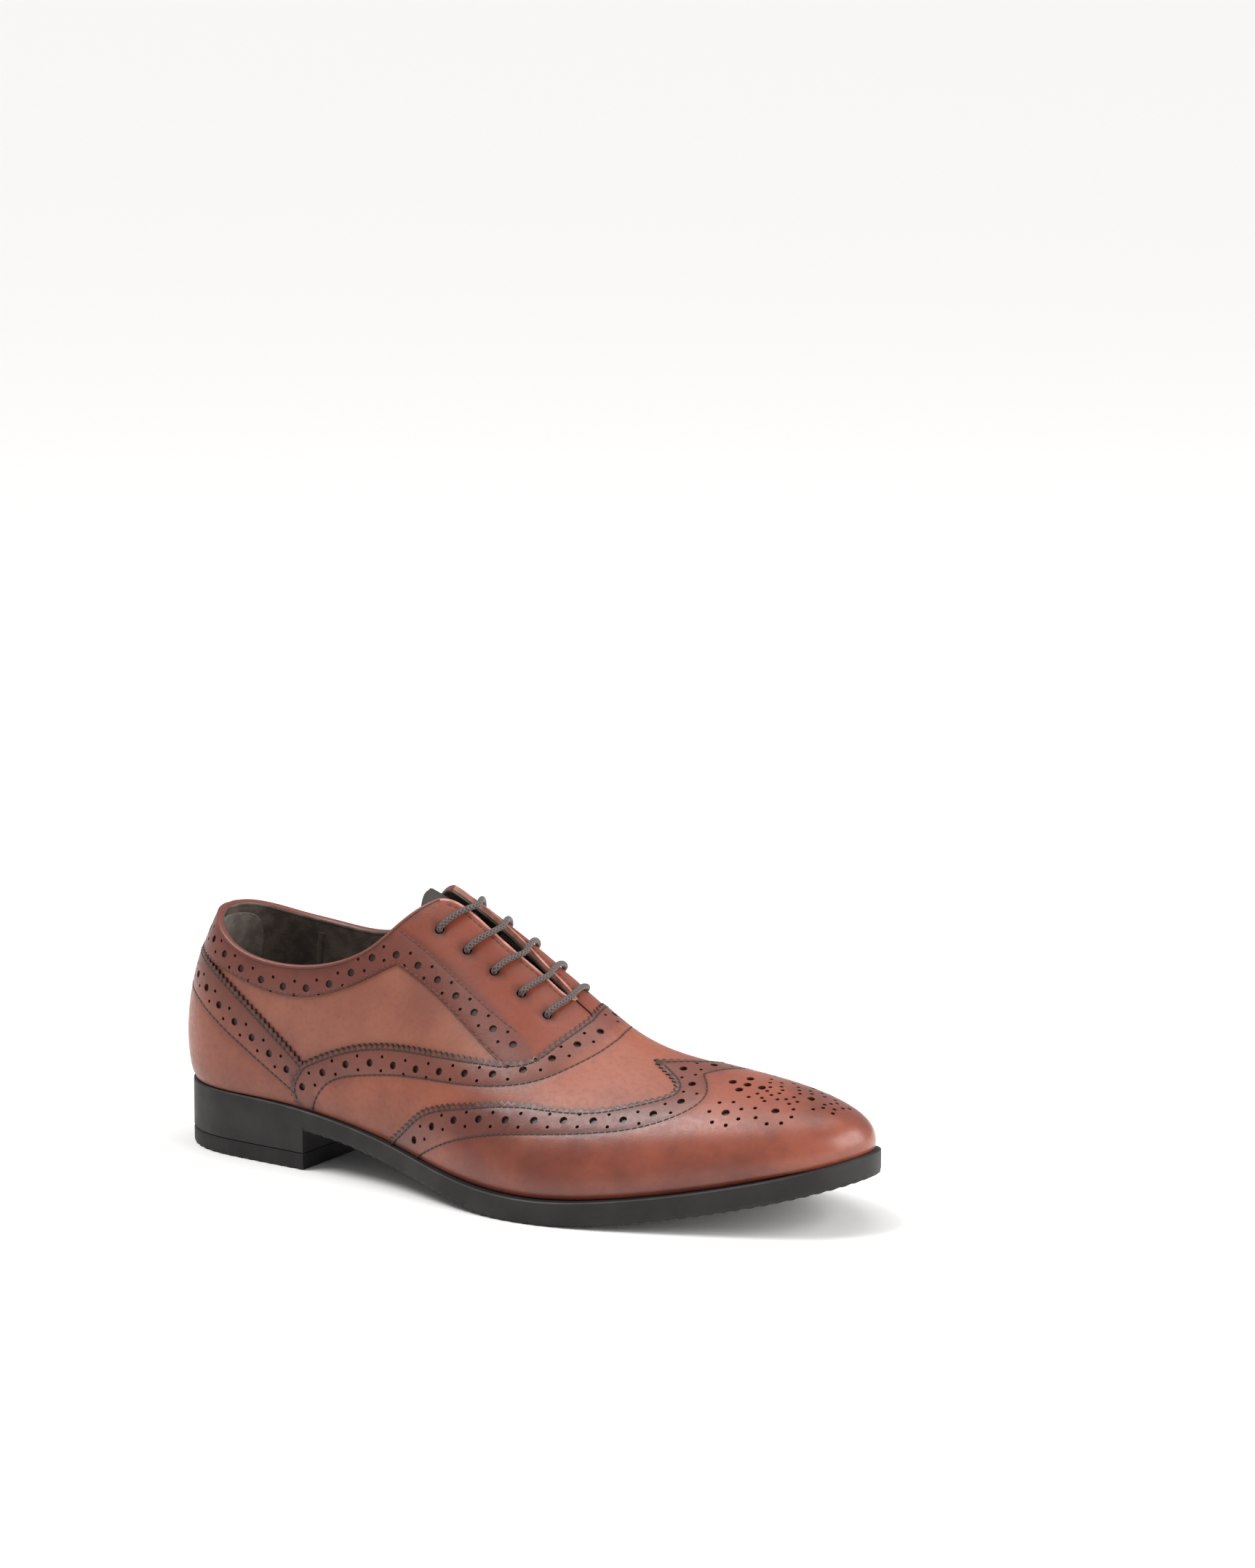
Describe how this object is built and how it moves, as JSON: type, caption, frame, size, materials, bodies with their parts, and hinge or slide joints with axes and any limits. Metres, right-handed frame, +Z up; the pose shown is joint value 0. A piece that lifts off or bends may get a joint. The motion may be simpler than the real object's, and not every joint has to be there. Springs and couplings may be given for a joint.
{
  "type": "brogue shoe",
  "caption": "Lace-up wing-tip shoe in tan leather with pinked, punched overlays, closed lacing and a low stacked heel on a dark sole.",
  "frame": {"origin": "floor level under the middle of the bounding box", "axes": "+X from heel to toe, +Y to the inner side of the foot, +Z up"},
  "size_m": [0.3072, 0.1078, 0.1128],
  "materials": {
    "outsole_rubber": "matt charcoal",
    "top_piece_rubber": "matt charcoal",
    "insole_cloth": "matt black",
    "quarter_leather": "satin tan",
    "facing_leather": "satin, burnished darker",
    "counter_leather": "satin tan",
    "vamp_leather": "satin tan",
    "cap_leather": "satin tan, burnished edges",
    "tongue_leather": "matt dark grey-brown",
    "lace_cotton": "waxed, grey-brown"
  },
  "bodies": {
    "root": {"outsole": "outsole_rubber", "heel_top_piece": "top_piece_rubber", "insole": "insole_cloth", "upper": "quarter_leather", "facing_outer": "facing_leather", "facing_inner": "facing_leather", "heel_counter": "counter_leather", "vamp": "vamp_leather", "toe_cap": "cap_leather", "tongue": "tongue_leather", "lace": "lace_cotton"}
  },
  "joints": []
}
